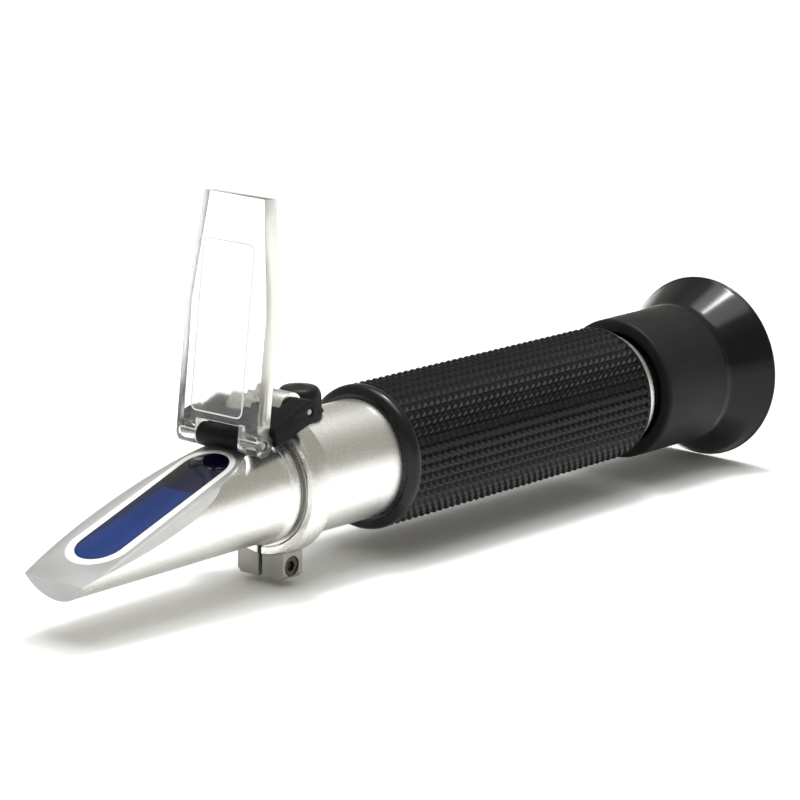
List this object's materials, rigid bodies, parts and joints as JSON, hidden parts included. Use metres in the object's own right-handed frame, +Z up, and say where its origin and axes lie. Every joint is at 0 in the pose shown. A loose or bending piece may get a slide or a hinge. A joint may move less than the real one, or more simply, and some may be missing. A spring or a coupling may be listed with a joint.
{
  "type": "hand-held refractometer",
  "caption": "Pencil-type optical refractometer: sloping prism nose, clear hinged daylight plate on a swinging arm, rubber grip covered in small pyramids, focusing eyepiece with flared eyecup.",
  "frame": {"origin": "on the plane under the instrument (the eyecup's lowest point), below the middle of its length", "axes": "+X along the tube from prism to eyepiece, +Z up through the raised daylight plate"},
  "size_m": [0.202, 0.04, 0.0785],
  "materials": {
    "satin_aluminium": "bead-blasted satin",
    "prism_glass": "polished blue optical glass",
    "white_sealant": "smooth white sealant bead",
    "black_rubber": "semi-gloss moulded rubber",
    "steel": "turned steel",
    "black_anodised": "matte black anodised",
    "clear_glass": "coated optical glass",
    "black_plastic": "matte moulded plastic",
    "clear_acrylic": "clear acrylic, frosted on the prism side",
    "brass": "turned brass"
  },
  "bodies": {
    "body": {"main_tube": "satin_aluminium", "prism_housing": "satin_aluminium", "prism": "prism_glass", "prism_seal": "white_sealant", "housing_o_ring": "black_rubber", "clamp_ring": "satin_aluminium", "clamp_screw": "steel", "pivot_pin": "steel", "grip_sleeve": "black_rubber", "light_baffle": "black_anodised", "reticle_holder": "black_anodised", "reticle_disc": "clear_glass", "reticle_retaining_ring": "black_anodised", "focus_sleeve": "black_anodised", "key_screw": "steel", "calibration_boss": "black_plastic"},
    "arm": {"hinge_arm": "black_plastic", "plate_hinge_pin": "steel"},
    "plate": {"daylight_plate": "clear_acrylic"},
    "objective": {"objective_cell": "black_anodised", "objective_crown_lens": "clear_glass", "objective_flint_lens": "clear_glass", "objective_retaining_ring": "black_anodised"},
    "calibration_turner": {"calibration_screw": "brass"},
    "cap": {"calibration_cap": "black_rubber"},
    "eyepiece": {"eyepiece_barrel": "black_anodised", "field_lens": "clear_glass", "lens_spacer": "black_anodised", "eye_lens": "clear_glass", "eyepiece_retaining_ring": "black_anodised"},
    "focus": {"focus_ring": "black_plastic", "barrel_trap_ring": "black_anodised", "eyecup": "black_rubber"}
  },
  "joints": [
    {"name": "arm_pivot", "type": "hinge", "parent": "body", "child": "arm", "pos_m": [-0.0422, 0, 0.036], "axis": [0, 1, 0], "range_deg": [0, 60]},
    {"name": "plate_hinge", "type": "hinge", "parent": "arm", "child": "plate", "pos_m": [-0.0544, 0, 0.0313], "axis": [0, -1, 0], "range_deg": [0, 115.6]},
    {"name": "cell_shift", "type": "slide", "parent": "body", "child": "objective", "axis": [0, 0, 1], "range_m": [-0.0005, 0.0005]},
    {"name": "calibration_turn", "type": "hinge", "parent": "objective", "child": "calibration_turner", "pos_m": [-0.0328, 0, 0.034], "axis": [0, 0, 1], "range_deg": [-360, 360]},
    {"name": "cap_lift", "type": "slide", "parent": "body", "child": "cap", "axis": [0, 0, 1], "range_m": [0, 0.01]},
    {"name": "eyepiece_slide", "type": "slide", "parent": "body", "child": "eyepiece", "axis": [1, 0, 0], "range_m": [-0.002, 0.002]},
    {"name": "focus_turn", "type": "hinge", "parent": "eyepiece", "child": "focus", "pos_m": [0.0796, 0, 0.02], "axis": [1, 0, 0], "range_deg": [-180, 180]}
  ],
  "couplings": [
    {"joint": "calibration_turn", "follows": "cell_shift", "rad_per_m": 12566},
    {"joint": "eyepiece_slide", "follows": "focus_turn", "m_per_rad": 0.00063662}
  ]
}
